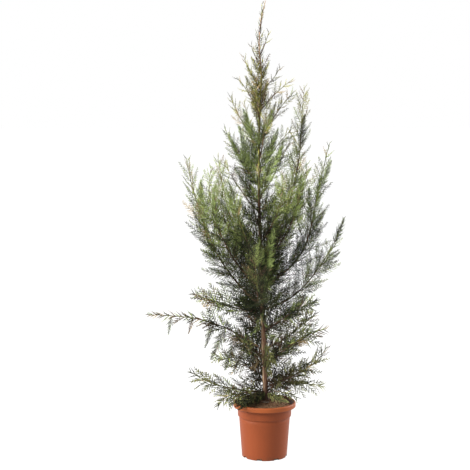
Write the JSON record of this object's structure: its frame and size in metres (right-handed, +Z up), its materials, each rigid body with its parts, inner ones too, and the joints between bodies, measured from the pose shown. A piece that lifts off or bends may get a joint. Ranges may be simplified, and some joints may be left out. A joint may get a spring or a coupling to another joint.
{
  "type": "potted leyland cypress",
  "caption": "Young evergreen conifer with a slender leader, upswept feathery boughs and drooping low limbs, growing in a round tapered nursery pot with a rolled lip.",
  "frame": {"origin": "centre of the pot's flat underside", "axes": "+Z up along the trunk, +X towards the right of the plant as seen from its front, which faces -Y"},
  "size_m": [0.8709, 0.6361, 1.881],
  "materials": {
    "terracotta_plastic": "satin",
    "soil": "matte",
    "bark": "matte",
    "foliage_low": "matte",
    "foliage_mid": "matte",
    "foliage_top": "matte"
  },
  "bodies": {
    "root": {"pot": "terracotta_plastic", "soil": "soil", "trunk": "bark", "bough_long_left": "bark", "bough_tall_left": "bark", "bough_left_front": "bark", "bough_left_inner": "bark", "bough_wide_right": "bark", "bough_tall_right": "bark", "bough_front_right_tall": "bark", "bough_inner_right": "bark", "bough_back_left": "bark", "bough_back_right": "bark", "foliage_low_left": "foliage_low", "foliage_rim_left": "foliage_low", "foliage_low_right": "foliage_low", "foliage_rim_right": "foliage_low", "foliage_low_right_back": "foliage_low", "foliage_low_left_back": "foliage_low", "foliage_low_right_rising": "foliage_low", "foliage_low_back": "foliage_low", "foliage_long_left": "foliage_low", "foliage_right_fan": "foliage_low", "foliage_right_back": "foliage_low", "foliage_right_front": "foliage_mid", "foliage_front_left_low": "foliage_low", "foliage_back_low": "foliage_low", "foliage_tall_left": "foliage_mid", "foliage_short_left": "foliage_mid", "foliage_left_front": "foliage_mid", "foliage_left_inner": "foliage_mid", "foliage_wide_right": "foliage_mid", "foliage_tall_right": "foliage_mid", "foliage_front_right_tall": "foliage_mid", "foliage_inner_right": "foliage_mid", "foliage_front_centre": "foliage_mid", "foliage_front": "foliage_mid", "foliage_front_left": "foliage_mid", "foliage_back": "foliage_mid", "foliage_back_left": "foliage_mid", "foliage_back_right": "foliage_mid", "foliage_high_left": "foliage_mid", "foliage_upper_left": "foliage_mid", "foliage_high_right": "foliage_mid", "foliage_upper_right": "foliage_mid", "foliage_high_front": "foliage_mid", "foliage_high_back": "foliage_mid", "foliage_upper_front": "foliage_mid", "foliage_upper_back": "foliage_mid", "foliage_crown_left": "foliage_top", "foliage_crown_right": "foliage_top", "foliage_peak_left": "foliage_top", "foliage_peak_right": "foliage_top", "foliage_peak_front": "foliage_top", "foliage_peak_back": "foliage_top", "foliage_spire_left": "foliage_top", "foliage_spire_right": "foliage_top", "foliage_leader_left": "foliage_top", "foliage_leader_right": "foliage_top", "foliage_leader_tip": "foliage_top"}
  },
  "joints": []
}
